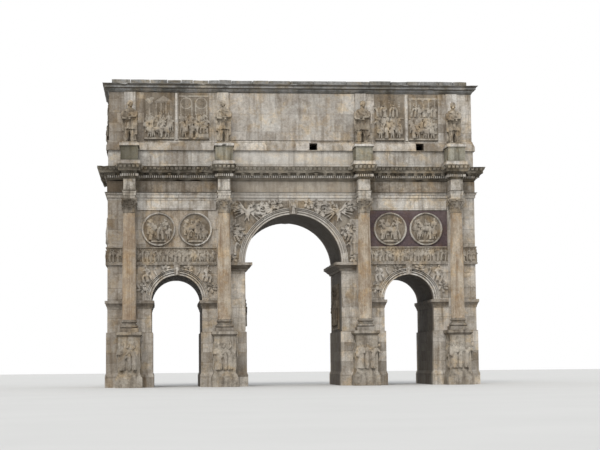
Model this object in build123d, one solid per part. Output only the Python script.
from build123d import *
import math
import os

# A triumphal arch with three bays, a column on a pedestal before each pier, and a hollow attic.
# Millimetres. +X runs along the front, +Y goes from the front to the back, +Z is up.
# The origin is on the ground, in the middle of the central passage.

# Plan: half the depth, half of each passage, and the two kinds of pier
HALF_DEPTH = 3300.0
CENTRAL_HALF = 3250.0
INNER_PIER_WIDTH = 2880.0
SIDE_HALF = 1680.0
OUTER_PIER_WIDTH = 2920.0

# Springing of the side vaults, and how far each vault block reaches on to its piers
SIDE_SPRING = 5740.0
SIDE_SPRINGER = 400.0
CENTRAL_SPRINGER = 600.0

# Courses of the body, from the ground up
PLINTH_HEIGHT = 750.0
PLINTH_PROJECTION = 150.0
SOCLE_FOOT = 950.0
SOCLE_PROJECTION = 80.0
PEDESTAL_HEIGHT = 3630.0
STRING_COURSE_HEIGHT = 130.0
STRING_COURSE_PROJECTION = 130.0
NARROW_FRIEZE_HEIGHT = 1070.0
NARROW_FRIEZE_PROJECTION = 60.0
SURROUND_THICKNESS = 40.0
LIGHT_BAND_HEIGHT = 700.0

# Imposts
CENTRAL_IMPOST_HEIGHT = 570.0
CENTRAL_IMPOST_PROJECTION = 460.0
SIDE_IMPOST_HEIGHT = 560.0
SIDE_IMPOST_PROJECTION = 180.0

# Archivolts and keystones
CENTRAL_ARCHIVOLT_WIDTH = 440.0
SIDE_ARCHIVOLT_WIDTH = 430.0
ARCHIVOLT_PROJECTION = 130.0
CENTRAL_KEYSTONE_HEIGHT = 940.0
CENTRAL_KEYSTONE_FOOT = 480.0
CENTRAL_KEYSTONE_HEAD = 640.0
CENTRAL_KEYSTONE_PROJECTION = 360.0
SIDE_KEYSTONE_HEIGHT = 690.0
SIDE_KEYSTONE_FOOT = 320.0
SIDE_KEYSTONE_HEAD = 430.0
SIDE_KEYSTONE_PROJECTION = 240.0

# Roundels
ROUNDEL_RADIUS = 1150.0
ROUNDEL_RIM = 115.0
ROUNDEL_PAIR_GAP = 180.0
ROUNDEL_GAP_BELOW = 30.0
ROUNDEL_GAP_ABOVE = 100.0
ROUNDEL_THICKNESS = 150.0
ROUNDEL_RECESS = 75.0
ROUNDEL_SIDES = 18

# Columns and what stands behind and under them
COLUMN_AXIS_GAP = 950.0
COLUMN_FOOT_RADIUS = 450.0
COLUMN_NECK_RADIUS = 385.0
PEDESTAL_DIE_WIDTH = 1420.0
PEDESTAL_CAP_PROJECTION = 140.0
PEDESTAL_CAP_HEIGHT = 330.0
PEDESTAL_FOOT_PROJECTION = 170.0
COLUMN_BASE_HEIGHT = 800.0
COLUMN_PLINTH_WIDTH = 1240.0
COLUMN_PLINTH_HEIGHT = 270.0
CAPITAL_HEIGHT = 970.0
ABACUS_WIDTH = 1090.0
ABACUS_HEIGHT = 150.0
ABACUS_HOLLOW = 90.0
CAPITAL_LEAVES = 8
LEAF_WIDTH = 210.0
LEAF_REACH = 150.0
SCROLL_WIDTH = 130.0
SCROLL_REACH = 235.0
TURNED_SIDES = 12
FLUTES = 14
FLUTE_DEPTH = 0.075
PILASTER_WIDTH = 900.0
PILASTER_PROJECTION = 200.0

# Entablature
ARCHITRAVE_HEIGHT = 550.0
FRIEZE_HEIGHT = 750.0
CORNICE_HEIGHT = 960.0
CORNICE_PROJECTION = 690.0
RESSAUT_HALF_WIDTH = 375.0
RESSAUT_REACH = 390.0
RESSAUT_CORNICE_PROJECTION = 450.0
MODILLION_WIDTH = 240.0
MODILLION_SPACING = 680.0
MODILLION_GAP = 120.0

# Attic
ATTIC_SETBACK = 80.0
ATTIC_WALL = 1000.0
ATTIC_DADO_HEIGHT = 1120.0
ATTIC_DADO_PROJECTION = 60.0
WINDOW_COURSE_HEIGHT = 680.0
WINDOW_COURSE_PROJECTION = 190.0
WINDOW_BOTTOM_GAP = 40.0
WINDOW_HEIGHT = 490.0
WINDOW_WIDTH = 540.0
INNER_WINDOW_X = 1410.0
OUTER_WINDOW_SHIFT = 905.0
ATTIC_WALL_HEIGHT = 3280.0
ATTIC_CORNICE_HEIGHT = 570.0
ATTIC_CORNICE_PROJECTION = 450.0
ATTIC_CORNICE_BED = 500.0
BLOCKING_HEIGHT = 350.0
BLOCKING_SETBACK = 150.0
BLOCKING_THICKNESS = 600.0
ATTIC_PILASTER_PROJECTION = 120.0
PANEL_THICKNESS = 70.0
PANEL_WIDTH = 2040.0
PANEL_PAIR_GAP = 290.0
PANEL_MARGIN = 40.0
INSCRIPTION_GAP = 75.0

# Statues and their blocks
BLOCK_SLAB_HEIGHT = 250.0
BLOCK_SLAB_HALF_WIDTH = 740.0
BLOCK_HALF_WIDTH = 580.0
BLOCK_HEIGHT = 1150.0
BLOCK_FRONT_GAP = 130.0
BLOCK_CAP_HEIGHT = 180.0
BLOCK_CAP_PROJECTION = 75.0
STATUE_HEIGHT = 2920.0
STATUE_SLAB = 90.0
STATUE_SIDES = 8
STATUE_GAP = 760.0

# Levels and planes that follow from the sizes above
SIDE_INNER = CENTRAL_HALF + INNER_PIER_WIDTH
SIDE_CENTRE = SIDE_INNER + SIDE_HALF
SIDE_OUTER = SIDE_CENTRE + SIDE_HALF
HALF_WIDTH = SIDE_OUTER + OUTER_PIER_WIDTH
INNER_COLUMN_X = CENTRAL_HALF + INNER_PIER_WIDTH / 2
OUTER_COLUMN_X = SIDE_OUTER + OUTER_PIER_WIDTH / 2
STRING_COURSE_BOTTOM = SIDE_SPRING + SIDE_HALF + SIDE_KEYSTONE_HEIGHT
NARROW_FRIEZE_BOTTOM = STRING_COURSE_BOTTOM + STRING_COURSE_HEIGHT
NARROW_FRIEZE_TOP = NARROW_FRIEZE_BOTTOM + NARROW_FRIEZE_HEIGHT
ROUNDEL_HEIGHT = NARROW_FRIEZE_TOP + ROUNDEL_GAP_BELOW + ROUNDEL_RADIUS
SURROUND_TOP = ROUNDEL_HEIGHT + ROUNDEL_RADIUS + ROUNDEL_GAP_ABOVE
ARCHITRAVE_BOTTOM = SURROUND_TOP + LIGHT_BAND_HEIGHT
CENTRAL_SPRING = ARCHITRAVE_BOTTOM - CENTRAL_KEYSTONE_HEIGHT - CENTRAL_HALF
FRIEZE_BOTTOM = ARCHITRAVE_BOTTOM + ARCHITRAVE_HEIGHT
CORNICE_BOTTOM = FRIEZE_BOTTOM + FRIEZE_HEIGHT
ATTIC_BOTTOM = CORNICE_BOTTOM + CORNICE_HEIGHT
WINDOW_COURSE_BOTTOM = ATTIC_BOTTOM + ATTIC_DADO_HEIGHT
ATTIC_WALL_BOTTOM = WINDOW_COURSE_BOTTOM + WINDOW_COURSE_HEIGHT
ATTIC_WALL_TOP = ATTIC_WALL_BOTTOM + ATTIC_WALL_HEIGHT
ATTIC_TOP = ATTIC_WALL_TOP + ATTIC_CORNICE_HEIGHT
COLUMN_Y = HALF_DEPTH + COLUMN_AXIS_GAP
SHAFT_BOTTOM = PEDESTAL_HEIGHT + COLUMN_BASE_HEIGHT
CAPITAL_BOTTOM = ARCHITRAVE_BOTTOM - CAPITAL_HEIGHT
RESSAUT_FRONT = COLUMN_Y + RESSAUT_REACH
ATTIC_HALF_WIDTH = HALF_WIDTH - ATTIC_SETBACK
ATTIC_HALF_DEPTH = HALF_DEPTH - ATTIC_SETBACK
BLOCK_BOTTOM = ATTIC_BOTTOM + BLOCK_SLAB_HEIGHT
BLOCK_TOP = BLOCK_BOTTOM + BLOCK_HEIGHT
WINDOW_CENTRES = (INNER_WINDOW_X, SIDE_CENTRE + OUTER_WINDOW_SHIFT)
COLUMN_PLACES = [
    (side * x, face)
    for face in (-1, 1)
    for side in (-1, 1)
    for x in (INNER_COLUMN_X, OUTER_COLUMN_X)
]
PILASTER_INNER_EDGE = INNER_COLUMN_X + PILASTER_WIDTH / 2
PILASTER_OUTER_EDGE = OUTER_COLUMN_X - PILASTER_WIDTH / 2


def bar(x_lo, x_hi, y_lo, y_hi, z_lo, z_hi):
    """A box between two corners, whichever way round each pair is given."""
    size = (abs(x_hi - x_lo), abs(y_hi - y_lo), abs(z_hi - z_lo))
    middle = ((x_lo + x_hi) / 2, (y_lo + y_hi) / 2, (z_lo + z_hi) / 2)
    return Pos(*middle) * Box(*size)


def moulded_block(x_lo, x_hi, y_lo, y_hi, profile):
    """A block whose four sides carry one moulding, mitred at the corners.

    profile lists (projection, height) from the bottom up.
    """
    x_lo, x_hi = sorted((x_lo, x_hi))
    y_lo, y_hi = sorted((y_lo, y_hi))
    reach = max(projection for projection, height in profile) + 10.0
    front = [(x_lo - out, z) for out, z in profile]
    front += [(x_hi + out, z) for out, z in reversed(profile)]
    side = [(y_lo - out, z) for out, z in profile]
    side += [(y_hi + out, z) for out, z in reversed(profile)]
    front_face = make_face(Polyline(*[(x, y_lo - reach, z) for x, z in front], close=True))
    side_face = make_face(Polyline(*[(x_lo - reach, y, z) for y, z in side], close=True))
    along = extrude(front_face, amount=y_hi - y_lo + 2 * reach, dir=(0, 1, 0))
    across = extrude(side_face, amount=x_hi - x_lo + 2 * reach, dir=(1, 0, 0))
    return along & across


def one(shape):
    """The single solid of a shape."""
    return shape.solids()[0]


def mirrored(solids, plane):
    """The solids and their mirror images."""
    return list(solids) + [mirror(solid, about=plane) for solid in solids]


def both_faces(solids):
    return mirrored(solids, Plane.XZ)


def both_sides(solids):
    return mirrored(solids, Plane.YZ)


# Piers, walls and vaults

PIER_PROFILE = [
    (PLINTH_PROJECTION, 0.0),
    (PLINTH_PROJECTION, PLINTH_HEIGHT),
    (SOCLE_PROJECTION, SOCLE_FOOT),
    (SOCLE_PROJECTION, PEDESTAL_HEIGHT),
    (0.0, PEDESTAL_HEIGHT),
]


def pier_foot(x_lo, x_hi):
    profile = PIER_PROFILE + [(0.0, SIDE_SPRING)]
    return moulded_block(x_lo, x_hi, -HALF_DEPTH, HALF_DEPTH, profile)


def outer_pier():
    foot = pier_foot(SIDE_OUTER, HALF_WIDTH)
    head = bar(SIDE_OUTER + SIDE_SPRINGER, HALF_WIDTH, -HALF_DEPTH, HALF_DEPTH,
               SIDE_SPRING, ARCHITRAVE_BOTTOM)
    return one(foot + head)


def inner_pier():
    foot = pier_foot(CENTRAL_HALF, SIDE_INNER)
    waist = bar(CENTRAL_HALF, SIDE_INNER - SIDE_SPRINGER, -HALF_DEPTH, HALF_DEPTH,
                SIDE_SPRING, CENTRAL_SPRING)
    head = bar(CENTRAL_HALF + CENTRAL_SPRINGER, SIDE_INNER - SIDE_SPRINGER, -HALF_DEPTH, HALF_DEPTH,
               CENTRAL_SPRING, ARCHITRAVE_BOTTOM)
    return one(foot + waist + head)


def vault(centre, half, springer, spring, top):
    """A block of wall over a passage, with the round vault cut through it."""
    block = bar(centre - half - springer, centre + half + springer, -HALF_DEPTH, HALF_DEPTH,
                spring, top)
    tunnel = Pos(centre, 0, spring) * Rot(90, 0, 0) * Cylinder(half, 2 * HALF_DEPTH + 200)
    return one(block - tunnel)


def side_vault():
    return vault(SIDE_CENTRE, SIDE_HALF, SIDE_SPRINGER, SIDE_SPRING, NARROW_FRIEZE_BOTTOM)


def central_vault():
    return vault(0.0, CENTRAL_HALF, CENTRAL_SPRINGER, CENTRAL_SPRING, ARCHITRAVE_BOTTOM)


def wall_over_side_arch():
    reach = SIDE_HALF + SIDE_SPRINGER
    return bar(SIDE_CENTRE - reach, SIDE_CENTRE + reach, -HALF_DEPTH, HALF_DEPTH,
               NARROW_FRIEZE_BOTTOM, ARCHITRAVE_BOTTOM)


# Imposts

def impost_profile(bottom, height, projection):
    return [
        (projection * 0.15, bottom),
        (projection * 0.30, bottom + height * 0.25),
        (projection * 0.45, bottom + height * 0.32),
        (projection * 0.80, bottom + height * 0.60),
        (projection, bottom + height * 0.66),
        (projection, bottom + height),
    ]


def central_impost():
    """The moulding on the passage side of an inner pier, returned as far as the pilasters."""
    bottom = CENTRAL_SPRING - CENTRAL_IMPOST_HEIGHT
    profile = impost_profile(bottom, CENTRAL_IMPOST_HEIGHT, CENTRAL_IMPOST_PROJECTION)
    end = INNER_COLUMN_X - PILASTER_WIDTH / 2
    block = moulded_block(CENTRAL_HALF, SIDE_INNER, -HALF_DEPTH, HALF_DEPTH, profile)
    kept = bar(0.0, end, -2 * HALF_DEPTH, 2 * HALF_DEPTH, bottom, CENTRAL_SPRING)
    core = bar(CENTRAL_HALF, end, -HALF_DEPTH, HALF_DEPTH, bottom, CENTRAL_SPRING)
    return one((block & kept) - core)


def side_imposts():
    """The mouldings on both jambs of a side passage, and round the outer end of the arch."""
    bottom = SIDE_SPRING - SIDE_IMPOST_HEIGHT
    profile = impost_profile(bottom, SIDE_IMPOST_HEIGHT, SIDE_IMPOST_PROJECTION)
    far = 2 * HALF_DEPTH
    inner = moulded_block(CENTRAL_HALF, SIDE_INNER, -HALF_DEPTH, HALF_DEPTH, profile)
    inner = inner & bar(PILASTER_INNER_EDGE, SIDE_CENTRE, -far, far, bottom, SIDE_SPRING)
    inner = inner - bar(CENTRAL_HALF, SIDE_INNER, -HALF_DEPTH, HALF_DEPTH, bottom, SIDE_SPRING)
    outer = moulded_block(SIDE_OUTER, HALF_WIDTH, -HALF_DEPTH, HALF_DEPTH, profile)
    outer = outer - bar(SIDE_OUTER, HALF_WIDTH, -HALF_DEPTH, HALF_DEPTH, bottom, SIDE_SPRING)
    outer = outer - bar(PILASTER_OUTER_EDGE, PILASTER_OUTER_EDGE + PILASTER_WIDTH, -far, far,
                        bottom, SIDE_SPRING)
    return inner.solids() + outer.solids()


# Archivolts, keystones and the bands of the front and back

def archivolt(centre, spring, radius, width):
    """A half ring on the front face."""
    outer = radius + width
    ring = Circle(outer) - Circle(radius)
    upper = Pos(0, outer / 2) * Rectangle(2 * outer, outer)
    return Pos(centre, -HALF_DEPTH, spring) * Rot(90, 0, 0) * extrude(ring & upper, amount=ARCHIVOLT_PROJECTION)


def keystone(centre, foot_z, head_z, foot_width, head_width, projection):
    front = -HALF_DEPTH
    outline = [
        (centre - foot_width / 2, front, foot_z),
        (centre + foot_width / 2, front, foot_z),
        (centre + head_width / 2, front, head_z),
        (centre - head_width / 2, front, head_z),
    ]
    block = extrude(make_face(Polyline(*outline, close=True)), amount=projection, dir=(0, -1, 0))
    lean = projection * 0.35
    cut = [
        (centre - head_width, front - projection, foot_z),
        (centre - head_width, front - projection + lean, foot_z),
        (centre - head_width, front - projection, head_z - (head_z - foot_z) * 0.2),
    ]
    wedge = extrude(make_face(Polyline(*cut, close=True)), amount=2 * head_width, dir=(1, 0, 0))
    return one(block - wedge)


def central_keystone():
    return keystone(0.0, CENTRAL_SPRING + CENTRAL_HALF, ARCHITRAVE_BOTTOM, CENTRAL_KEYSTONE_FOOT,
                    CENTRAL_KEYSTONE_HEAD, CENTRAL_KEYSTONE_PROJECTION)


def side_keystone():
    return keystone(SIDE_CENTRE, SIDE_SPRING + SIDE_HALF, STRING_COURSE_BOTTOM, SIDE_KEYSTONE_FOOT,
                    SIDE_KEYSTONE_HEAD, SIDE_KEYSTONE_PROJECTION)


def archivolts():
    central = archivolt(0.0, CENTRAL_SPRING, CENTRAL_HALF, CENTRAL_ARCHIVOLT_WIDTH)
    side = archivolt(SIDE_CENTRE, SIDE_SPRING, SIDE_HALF, SIDE_ARCHIVOLT_WIDTH)
    central = (central - central_keystone()).solids()
    side = (side - side_keystone()).solids()
    return both_faces(list(central) + both_sides(side))


def wall_bands(z_lo, z_hi, projection):
    """A flat band over each side arch, and round each end of the arch, between the pilasters."""
    far = 2 * HALF_DEPTH
    outer_edge = PILASTER_OUTER_EDGE + PILASTER_WIDTH
    over_arch = bar(PILASTER_INNER_EDGE, PILASTER_OUTER_EDGE, -HALF_DEPTH - projection, -HALF_DEPTH,
                    z_lo, z_hi)
    end = bar(outer_edge, HALF_WIDTH + projection, -HALF_DEPTH - projection, HALF_DEPTH + projection,
              z_lo, z_hi)
    end = end - bar(0.0, HALF_WIDTH, -HALF_DEPTH, HALF_DEPTH, z_lo, z_hi)
    return both_sides(both_faces([over_arch]) + [one(end)])


def roundel(x, y_back, z):
    """A disc with a raised rim, standing out from the plane y = -y_back."""
    disc = extrude(RegularPolygon(ROUNDEL_RADIUS, ROUNDEL_SIDES), amount=ROUNDEL_THICKNESS)
    recess = extrude(RegularPolygon(ROUNDEL_RADIUS - ROUNDEL_RIM, ROUNDEL_SIDES), amount=ROUNDEL_RECESS)
    disc = disc - Pos(0, 0, ROUNDEL_THICKNESS - ROUNDEL_RECESS) * recess
    return one(Pos(x, -y_back, z) * Rot(90, 0, 0) * disc)


def roundels():
    """Two over each side arch on both faces, and one at each end."""
    offset = ROUNDEL_RADIUS + ROUNDEL_PAIR_GAP / 2
    pair = (SIDE_CENTRE - offset, SIDE_CENTRE + offset)
    plain = [roundel(-x, HALF_DEPTH, ROUNDEL_HEIGHT) for x in pair]
    on_slab = [roundel(x, HALF_DEPTH + SURROUND_THICKNESS, ROUNDEL_HEIGHT) for x in pair]
    end = Rot(0, 0, 90) * roundel(0.0, HALF_WIDTH, ROUNDEL_HEIGHT)
    return both_faces(plain + on_slab) + both_sides([one(end)])


def coloured_surrounds():
    """The coloured slab behind the roundels, kept over the right-hand side arch of each face."""
    slab = bar(PILASTER_INNER_EDGE, PILASTER_OUTER_EDGE, -HALF_DEPTH - SURROUND_THICKNESS,
               -HALF_DEPTH, NARROW_FRIEZE_TOP, SURROUND_TOP)
    return both_faces([slab])


# Columns

def pedestal(x):
    """Foot, die and cap of one pedestal on the front face, seated against the pier's socle."""
    half = PEDESTAL_DIE_WIDTH / 2
    cap_bottom = PEDESTAL_HEIGHT - PEDESTAL_CAP_HEIGHT
    profile = [
        (PEDESTAL_FOOT_PROJECTION, 0.0),
        (PEDESTAL_FOOT_PROJECTION, PLINTH_HEIGHT * 0.8),
        (0.0, SOCLE_FOOT),
        (0.0, cap_bottom),
        (PEDESTAL_CAP_PROJECTION, cap_bottom + PEDESTAL_CAP_HEIGHT * 0.45),
        (PEDESTAL_CAP_PROJECTION, PEDESTAL_HEIGHT),
    ]
    front = -COLUMN_Y - half
    block = moulded_block(x - half, x + half, front, 0.0, profile)
    block = block & bar(x - 2 * half, x + 2 * half, 2 * front, -HALF_DEPTH, 0.0, PEDESTAL_HEIGHT)
    pier = moulded_block(x - 2 * half, x + 2 * half, -HALF_DEPTH, HALF_DEPTH, PIER_PROFILE)
    return one(block - pier)


def turned_stack(sections, sides):
    """A many-sided turned form through (radius, height) sections."""
    rings = [Pos(0, 0, z) * RegularPolygon(radius, sides) for radius, z in sections]
    return loft(rings, ruled=True)


def column_base():
    """A square plinth, a large ring, a hollow, a smaller ring and a fillet."""
    top = COLUMN_BASE_HEIGHT
    foot = COLUMN_PLINTH_HEIGHT
    rest = top - foot
    wide = COLUMN_PLINTH_WIDTH / 2
    neck = COLUMN_FOOT_RADIUS
    plinth = bar(-wide, wide, -wide, wide, 0.0, foot)
    rings = [
        (wide - 40, foot),
        (wide - 5, foot + rest * 0.16),
        (wide - 40, foot + rest * 0.34),
        (neck + 40, foot + rest * 0.52),
        (neck + 90, foot + rest * 0.74),
        (neck + 15, foot + rest * 0.90),
        (neck, top),
    ]
    return one(plinth + turned_stack(rings, TURNED_SIDES))


def fluted_section(radius, z):
    """The outline of a fluted shaft: a flat land and a hollow for each flute."""
    points = []
    step = 2 * math.pi / FLUTES
    for i in range(FLUTES):
        angle = i * step
        points.append((radius, angle - 0.14 * step))
        points.append((radius, angle + 0.14 * step))
        points.append((radius * (1 - FLUTE_DEPTH), angle + 0.5 * step))
    corners = [(r * math.cos(a), r * math.sin(a), z) for r, a in points]
    return make_face(Polyline(*corners, close=True))


def column_shaft():
    """A fluted shaft that keeps its width for a third of its height and then tapers."""
    height = CAPITAL_BOTTOM - SHAFT_BOTTOM
    sections = [
        fluted_section(COLUMN_FOOT_RADIUS, 0.0),
        fluted_section(COLUMN_FOOT_RADIUS * 0.99, height / 3),
        fluted_section(COLUMN_NECK_RADIUS, height),
    ]
    return one(loft(sections, ruled=True))


def leaf(radius, angle, z_lo, z_hi, width, reach):
    """A leaf that rises against the bell and curls outward at its tip."""
    outline = [
        (radius - 40, z_lo),
        (radius + 45, z_lo),
        (radius + 60, z_lo + (z_hi - z_lo) * 0.7),
        (radius + reach, z_lo + (z_hi - z_lo) * 0.86),
        (radius - 40, z_hi),
    ]
    face = make_face(Polyline(*[(x, -width / 2, z) for x, z in outline], close=True))
    return Rot(0, 0, angle) * extrude(face, amount=width, dir=(0, 1, 0))


def capital():
    """A bell with one tall ring of curling leaves, four corner scrolls and a hollow-sided abacus."""
    bell_height = CAPITAL_HEIGHT - ABACUS_HEIGHT
    half = ABACUS_WIDTH / 2
    neck = COLUMN_NECK_RADIUS
    bell = [(neck, 0.0), (neck + 10, bell_height * 0.55), (half - 60, bell_height)]
    form = Rot(0, 0, 180.0 / CAPITAL_LEAVES) * turned_stack(bell, CAPITAL_LEAVES)
    for i in range(CAPITAL_LEAVES):
        angle = i * 360.0 / CAPITAL_LEAVES
        form = form + leaf(neck, angle, 0.0, bell_height * 0.6, LEAF_WIDTH, LEAF_REACH)
    for i in range(4):
        form = form + leaf(neck + 60, i * 90.0 + 45.0, bell_height * 0.55, bell_height, SCROLL_WIDTH,
                           SCROLL_REACH)
    corner = half - 20
    inner = half - ABACUS_HOLLOW
    outline = []
    for turn in range(4):
        a = math.radians(90 * turn)
        for x, y in ((half, -corner), (inner, 0.0), (half, corner)):
            outline.append((x * math.cos(a) - y * math.sin(a), x * math.sin(a) + y * math.cos(a)))
    plate = make_face(Polyline(*[(x, y, bell_height) for x, y in outline], close=True))
    return one(form + extrude(plate, amount=ABACUS_HEIGHT, dir=(0, 0, 1)))


def at_columns(shape, z):
    """A copy at each column, turned half round on the back face."""
    placed = []
    for x, face in COLUMN_PLACES:
        turn = 0 if face < 0 else 180
        placed.append(Pos(x, face * COLUMN_Y, z) * Rot(0, 0, turn) * shape)
    return placed


def pilaster(x):
    """A flat pier behind one column of the front face."""
    half = PILASTER_WIDTH / 2
    return bar(x - half, x + half, -HALF_DEPTH - PILASTER_PROJECTION, -HALF_DEPTH,
               PEDESTAL_HEIGHT, ARCHITRAVE_BOTTOM)


# Entablature

def architrave_profile(projection):
    """Three flat bands, each a little further out, under a cap moulding."""
    step = projection * 0.06
    low = ARCHITRAVE_BOTTOM
    return [
        (step, low),
        (step, low + 180),
        (2 * step, low + 180),
        (2 * step, low + 390),
        (3 * step, low + 390),
        (3 * step, low + 480),
        (5 * step, low + ARCHITRAVE_HEIGHT),
    ]


def frieze_profile(projection):
    step = projection * 0.06
    return [(step, FRIEZE_BOTTOM), (step, CORNICE_BOTTOM)]


def cornice_profile(projection):
    """Bed moulding, dentil band, modillion band, corona and crown."""
    low = CORNICE_BOTTOM
    tall = CORNICE_HEIGHT
    return [
        (projection * 0.06, low),
        (projection * 0.18, low + tall * 0.13),
        (projection * 0.18, low + tall * 0.28),
        (projection * 0.34, low + tall * 0.34),
        (projection * 0.34, low + tall * 0.52),
        (projection * 0.80, low + tall * 0.52),
        (projection * 0.80, low + tall * 0.72),
        (projection, low + tall * 0.94),
        (projection, low + tall),
    ]


def main_course(profile):
    return one(moulded_block(-HALF_WIDTH, HALF_WIDTH, -HALF_DEPTH, HALF_DEPTH, profile))


def ressaut(x):
    """The whole entablature broken forward over one column of the front face."""
    block = None
    for make in (architrave_profile, frieze_profile, cornice_profile):
        course = moulded_block(x - RESSAUT_HALF_WIDTH, x + RESSAUT_HALF_WIDTH, -RESSAUT_FRONT, 0.0,
                               make(RESSAUT_CORNICE_PROJECTION))
        block = course if block is None else block + course
    for make in (architrave_profile, frieze_profile, cornice_profile):
        block = block - main_course(make(CORNICE_PROJECTION))
    return one(block)


def modillions():
    """Brackets under the corona, left out where a ressaut stands."""
    z_lo = CORNICE_BOTTOM + CORNICE_HEIGHT * 0.36
    z_hi = CORNICE_BOTTOM + CORNICE_HEIGHT * 0.52
    back = CORNICE_PROJECTION * 0.34
    front = CORNICE_PROJECTION * 0.74
    half = MODILLION_WIDTH / 2
    clear = RESSAUT_HALF_WIDTH + RESSAUT_CORNICE_PROJECTION + MODILLION_WIDTH / 2 + MODILLION_GAP
    stretches = [
        (clear - INNER_COLUMN_X, INNER_COLUMN_X - clear),
        (INNER_COLUMN_X + clear, OUTER_COLUMN_X - clear),
        (-OUTER_COLUMN_X + clear, -INNER_COLUMN_X - clear),
    ]
    made = []
    for low, high in stretches:
        count = round((high - low) / MODILLION_SPACING)
        for i in range(count + 1):
            x = low + (high - low) * i / count
            made.append(bar(x - half, x + half, -HALF_DEPTH - front, -HALF_DEPTH - back, z_lo, z_hi))
    made = both_faces(made)
    count = int(HALF_DEPTH // MODILLION_SPACING)
    for i in range(-count, count + 1):
        y = i * MODILLION_SPACING
        end = bar(HALF_WIDTH + back, HALF_WIDTH + front, y - half, y + half, z_lo, z_hi)
        made += both_sides([end])
    return made


# Attic

def attic_shell(profile):
    """A hollow course of the attic, from its outer moulding to the chamber's walls."""
    x = ATTIC_HALF_WIDTH
    y = ATTIC_HALF_DEPTH
    z_lo = profile[0][1]
    z_hi = profile[-1][1]
    block = moulded_block(-x, x, -y, y, profile)
    room = bar(ATTIC_WALL - x, x - ATTIC_WALL, ATTIC_WALL - y, y - ATTIC_WALL, z_lo, z_hi)
    return block - room


DADO_PROFILE = [
    (ATTIC_DADO_PROJECTION, ATTIC_BOTTOM),
    (ATTIC_DADO_PROJECTION, WINDOW_COURSE_BOTTOM),
]
WINDOW_COURSE_PROFILE = [
    (WINDOW_COURSE_PROJECTION, WINDOW_COURSE_BOTTOM),
    (WINDOW_COURSE_PROJECTION, WINDOW_COURSE_BOTTOM + WINDOW_COURSE_HEIGHT * 0.45),
    (WINDOW_COURSE_PROJECTION * 0.4, WINDOW_COURSE_BOTTOM + WINDOW_COURSE_HEIGHT * 0.8),
    (WINDOW_COURSE_PROJECTION * 0.2, ATTIC_WALL_BOTTOM),
]
ATTIC_WALL_PROFILE = [(0.0, ATTIC_WALL_BOTTOM), (0.0, ATTIC_WALL_TOP)]


def long_wall(shape):
    """The part of an attic course that makes the front wall, with both corners."""
    far = 2 * HALF_WIDTH
    edge = -ATTIC_HALF_DEPTH + ATTIC_WALL
    return shape & bar(-far, far, -far, edge, 0.0, far)


def end_wall(shape):
    """The part of an attic course that makes the right end wall, between the long walls."""
    far = 2 * HALF_WIDTH
    edge = ATTIC_HALF_DEPTH - ATTIC_WALL
    return shape & bar(0.0, far, -edge, edge, 0.0, far)


def attic_dado():
    return one(long_wall(attic_shell(DADO_PROFILE)))


def attic_window_course():
    """The moulded course of the front wall, parted by its two windows."""
    course = long_wall(attic_shell(WINDOW_COURSE_PROFILE))
    for x in WINDOW_CENTRES:
        course = course - bar(x - WINDOW_WIDTH / 2, x + WINDOW_WIDTH / 2, -2 * HALF_DEPTH, 0.0,
                              WINDOW_COURSE_BOTTOM, ATTIC_WALL_BOTTOM)
    return course.solids()


def window_fills():
    """The sill and the lintel of each window of the front wall."""
    fills = []
    course = long_wall(attic_shell(WINDOW_COURSE_PROFILE))
    sill_top = WINDOW_COURSE_BOTTOM + WINDOW_BOTTOM_GAP
    for x in WINDOW_CENTRES:
        half = WINDOW_WIDTH / 2
        sill = course & bar(x - half, x + half, -2 * HALF_DEPTH, 0.0, WINDOW_COURSE_BOTTOM, sill_top)
        lintel = course & bar(x - half, x + half, -2 * HALF_DEPTH, 0.0, sill_top + WINDOW_HEIGHT,
                              ATTIC_WALL_BOTTOM)
        fills += [one(sill), one(lintel)]
    return fills


def attic_front():
    return one(long_wall(attic_shell(ATTIC_WALL_PROFILE)))


def attic_end():
    shell = None
    for profile in (DADO_PROFILE, WINDOW_COURSE_PROFILE, ATTIC_WALL_PROFILE):
        course = end_wall(attic_shell(profile))
        shell = course if shell is None else shell + course
    return one(shell)


def attic_cornice():
    low = ATTIC_WALL_TOP
    tall = ATTIC_CORNICE_HEIGHT
    out = ATTIC_CORNICE_PROJECTION
    profile = [
        (out * 0.1, low),
        (out * 0.3, low + tall * 0.25),
        (out * 0.3, low + tall * 0.40),
        (out * 0.7, low + tall * 0.50),
        (out * 0.7, low + tall * 0.72),
        (out, low + tall * 0.92),
        (out, ATTIC_TOP),
    ]
    x = ATTIC_HALF_WIDTH
    y = ATTIC_HALF_DEPTH
    inner_x = x - ATTIC_CORNICE_BED
    inner_y = y - ATTIC_CORNICE_BED
    block = moulded_block(-x, x, -y, y, profile)
    return one(block - bar(-inner_x, inner_x, -inner_y, inner_y, low, ATTIC_TOP))


def roof_slab():
    x = ATTIC_HALF_WIDTH - ATTIC_CORNICE_BED
    y = ATTIC_HALF_DEPTH - ATTIC_CORNICE_BED
    return bar(-x, x, -y, y, ATTIC_WALL_TOP, ATTIC_TOP)


def blocking_course():
    x = ATTIC_HALF_WIDTH - BLOCKING_SETBACK
    y = ATTIC_HALF_DEPTH - BLOCKING_SETBACK
    inner_x = x - BLOCKING_THICKNESS
    inner_y = y - BLOCKING_THICKNESS
    top = ATTIC_TOP + BLOCKING_HEIGHT
    whole = bar(-x, x, -y, y, ATTIC_TOP, top)
    return one(whole - bar(-inner_x, inner_x, -inner_y, inner_y, ATTIC_TOP, top))


def attic_pilaster(x):
    half = RESSAUT_HALF_WIDTH
    return bar(x - half, x + half, -ATTIC_HALF_DEPTH - ATTIC_PILASTER_PROJECTION, -ATTIC_HALF_DEPTH,
               ATTIC_WALL_BOTTOM, ATTIC_WALL_TOP)


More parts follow.
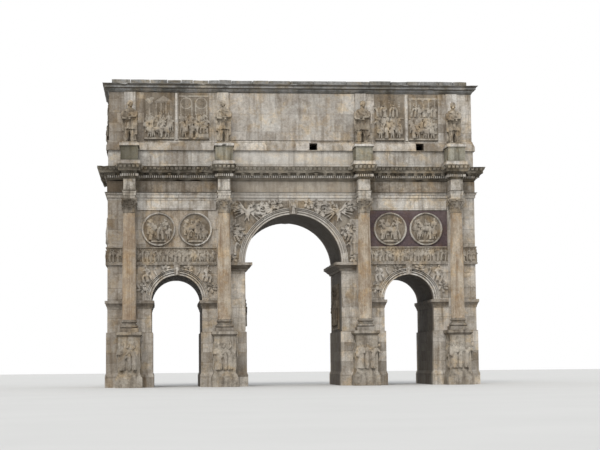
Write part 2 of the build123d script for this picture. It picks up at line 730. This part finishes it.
def attic_panel(x_lo, x_hi):
    """A flat slab on the front wall, with a margin above and below it."""
    return bar(x_lo, x_hi, -ATTIC_HALF_DEPTH - PANEL_THICKNESS, -ATTIC_HALF_DEPTH,
               ATTIC_WALL_BOTTOM + PANEL_MARGIN, ATTIC_WALL_TOP - PANEL_MARGIN)


def relief_panels():
    """Two over each side arch on both faces, and one at each end."""
    half = PANEL_WIDTH / 2
    centre = (INNER_COLUMN_X + OUTER_COLUMN_X) / 2
    offset = half + PANEL_PAIR_GAP / 2
    long_side = []
    for x in (centre - offset, centre + offset):
        long_side.append(attic_panel(x - half, x + half))
    end = bar(ATTIC_HALF_WIDTH, ATTIC_HALF_WIDTH + PANEL_THICKNESS, -PANEL_WIDTH, PANEL_WIDTH,
              ATTIC_WALL_BOTTOM + PANEL_MARGIN, ATTIC_WALL_TOP - PANEL_MARGIN)
    return both_sides(both_faces(long_side) + [end])


def inscription_panel():
    """The bare field between the inner statues of the front."""
    half = INNER_COLUMN_X - RESSAUT_HALF_WIDTH - INSCRIPTION_GAP
    return attic_panel(-half, half)


def statue_block(x):
    """The block and its slab over one ressaut of the front face, seated against the attic."""
    slab_front = -RESSAUT_FRONT - RESSAUT_CORNICE_PROJECTION + 60.0
    slab = bar(x - BLOCK_SLAB_HALF_WIDTH, x + BLOCK_SLAB_HALF_WIDTH, slab_front, -ATTIC_HALF_DEPTH,
               ATTIC_BOTTOM, BLOCK_BOTTOM)
    block = bar(x - BLOCK_HALF_WIDTH, x + BLOCK_HALF_WIDTH, slab_front + BLOCK_FRONT_GAP,
                -ATTIC_HALF_DEPTH, BLOCK_BOTTOM, BLOCK_TOP)
    cap_half = BLOCK_HALF_WIDTH + BLOCK_CAP_PROJECTION
    cap = bar(x - cap_half, x + cap_half, slab_front + BLOCK_FRONT_GAP - BLOCK_CAP_PROJECTION,
              -ATTIC_HALF_DEPTH, BLOCK_TOP - BLOCK_CAP_HEIGHT, BLOCK_TOP)
    whole = slab + block + cap
    for profile in (DADO_PROFILE, WINDOW_COURSE_PROFILE, ATTIC_WALL_PROFILE):
        whole = whole - long_wall(attic_shell(profile))
    return one(whole)


def faceted_form(depth_share, sections):
    """An upright form with flat sides through (half width, height, forward shift) sections."""
    rings = []
    for half_x, z, shift_y in sections:
        points = []
        for i in range(STATUE_SIDES):
            a = math.radians(360.0 / STATUE_SIDES * (i + 0.5))
            points.append((half_x * math.cos(a), shift_y + half_x * depth_share * math.sin(a), z))
        rings.append(make_face(Polyline(*points, close=True)))
    return loft(rings, ruled=True)


def limb(start, end, thick_start, thick_end):
    """A five-sided tapered limb between two points."""
    path = Vector(*end) - Vector(*start)
    low = Plane(origin=start, z_dir=path) * RegularPolygon(thick_start, 5)
    high = Plane(origin=end, z_dir=path) * RegularPolygon(thick_end, 5)
    return loft([low, high], ruled=True)


def upright_limb(x, y, z_lo, z_hi, thick_lo, thick_hi):
    """A six-sided leg or upper arm."""
    low = Pos(x, y, z_lo) * RegularPolygon(thick_lo, 6)
    high = Pos(x, y, z_hi) * RegularPolygon(thick_hi, 6)
    return loft([low, high], ruled=True)


def statue():
    """A standing captive in a cloak and tunic, hands crossed before the body."""
    tall = STATUE_HEIGHT
    hem = tall * 0.34
    pieces = [
        upright_limb(-165, -60, STATUE_SLAB, hem, 115, 140),
        upright_limb(165, -20, STATUE_SLAB, hem, 115, 140),
        faceted_form(0.45, [(300, STATUE_SLAB, 150), (280, hem, 60)]),
        faceted_form(0.62, [(340, hem, 0), (290, tall * 0.56, 0), (400, tall * 0.76, 0),
                            (330, tall * 0.83, 0), (130, tall * 0.86, 0)]),
        faceted_form(1.1, [(90, tall * 0.86, -10), (140, tall * 0.90, -30),
                           (155, tall * 0.95, -20), (90, tall, 0)]),
        upright_limb(-385, -70, tall * 0.57, tall * 0.80, 90, 110),
        limb((-385, -80, tall * 0.60), (60, -290, tall * 0.53), 75, 60),
        upright_limb(385, -70, tall * 0.60, tall * 0.80, 90, 110),
        limb((385, -80, tall * 0.63), (-40, -290, tall * 0.62), 75, 60),
    ]
    figure = bar(-430, 430, -330, 330, 0.0, STATUE_SLAB)
    for piece in pieces:
        figure = figure + piece
    return one(figure)


def statue_blocks():
    inner = [statue_block(x) for x in (INNER_COLUMN_X, OUTER_COLUMN_X)]
    return both_faces(both_sides(inner))


def statues():
    shape = statue()
    y = ATTIC_HALF_DEPTH + STATUE_GAP
    placed = []
    for x, face in COLUMN_PLACES:
        turn = 0 if face < 0 else 180
        placed.append(Pos(x, face * y, BLOCK_TOP) * Rot(0, 0, turn) * shape)
    return placed


def at_column_pairs(make):
    """make(x) for both columns of one side, repeated on all sides."""
    return both_faces(both_sides([make(x) for x in (INNER_COLUMN_X, OUTER_COLUMN_X)]))


def left_of(solid):
    return mirror(solid, about=Plane.YZ)


def back_of(solids):
    return [mirror(solid, about=Plane.XZ) for solid in solids]


def all_nodes():
    """Each node's name, and its solids."""
    nodes = {}
    nodes["outer_pier_right"] = [outer_pier()]
    nodes["outer_pier_left"] = [left_of(outer_pier())]
    nodes["inner_pier_right"] = [inner_pier()]
    nodes["inner_pier_left"] = [left_of(inner_pier())]
    nodes["side_vault_right"] = [side_vault()]
    nodes["side_vault_left"] = [left_of(side_vault())]
    nodes["central_vault"] = [central_vault()]
    nodes["wall_over_right_arch"] = [wall_over_side_arch()]
    nodes["wall_over_left_arch"] = [left_of(wall_over_side_arch())]
    nodes["central_imposts"] = both_sides([central_impost()])
    nodes["side_imposts"] = both_sides(side_imposts())
    nodes["archivolts"] = archivolts()
    nodes["central_keystones"] = both_faces([central_keystone()])
    nodes["side_keystones"] = both_sides(both_faces([side_keystone()]))
    nodes["string_courses"] = wall_bands(STRING_COURSE_BOTTOM, NARROW_FRIEZE_BOTTOM,
                                         STRING_COURSE_PROJECTION)
    nodes["narrow_friezes"] = wall_bands(NARROW_FRIEZE_BOTTOM, NARROW_FRIEZE_TOP,
                                         NARROW_FRIEZE_PROJECTION)
    nodes["coloured_surrounds"] = coloured_surrounds()
    nodes["roundels"] = roundels()
    nodes["pedestals"] = at_column_pairs(pedestal)
    nodes["column_bases"] = at_columns(column_base(), PEDESTAL_HEIGHT)
    nodes["column_shafts"] = at_columns(column_shaft(), SHAFT_BOTTOM)
    nodes["column_capitals"] = at_columns(capital(), CAPITAL_BOTTOM)
    nodes["pilasters"] = at_column_pairs(pilaster)
    nodes["architrave"] = [main_course(architrave_profile(CORNICE_PROJECTION))]
    nodes["frieze"] = [main_course(frieze_profile(CORNICE_PROJECTION))]
    nodes["cornice"] = [main_course(cornice_profile(CORNICE_PROJECTION))]
    nodes["ressauts"] = at_column_pairs(ressaut)
    nodes["modillions"] = modillions()
    nodes["attic_dado_front"] = [attic_dado()]
    nodes["attic_dado_back"] = back_of([attic_dado()])
    nodes["window_course_front"] = attic_window_course()
    nodes["window_course_back"] = back_of(attic_window_course())
    nodes["window_sills_and_lintels"] = both_faces(window_fills())
    nodes["attic_front_wall"] = [attic_front()]
    nodes["attic_back_wall"] = back_of([attic_front()])
    nodes["attic_right_wall"] = [attic_end()]
    nodes["attic_left_wall"] = [left_of(attic_end())]
    nodes["attic_cornice"] = [attic_cornice()]
    nodes["roof_slab"] = [roof_slab()]
    nodes["blocking_course"] = [blocking_course()]
    nodes["attic_pilasters"] = at_column_pairs(attic_pilaster)
    nodes["relief_panels"] = relief_panels()
    nodes["inscription_panels"] = both_faces([inscription_panel()])
    nodes["statue_blocks"] = statue_blocks()
    nodes["statues"] = statues()
    return nodes


os.makedirs("parts", exist_ok=True)
for name, solids in all_nodes().items():
    export_step(Compound(children=[one(solid) for solid in solids]), f"parts/{name}.step")
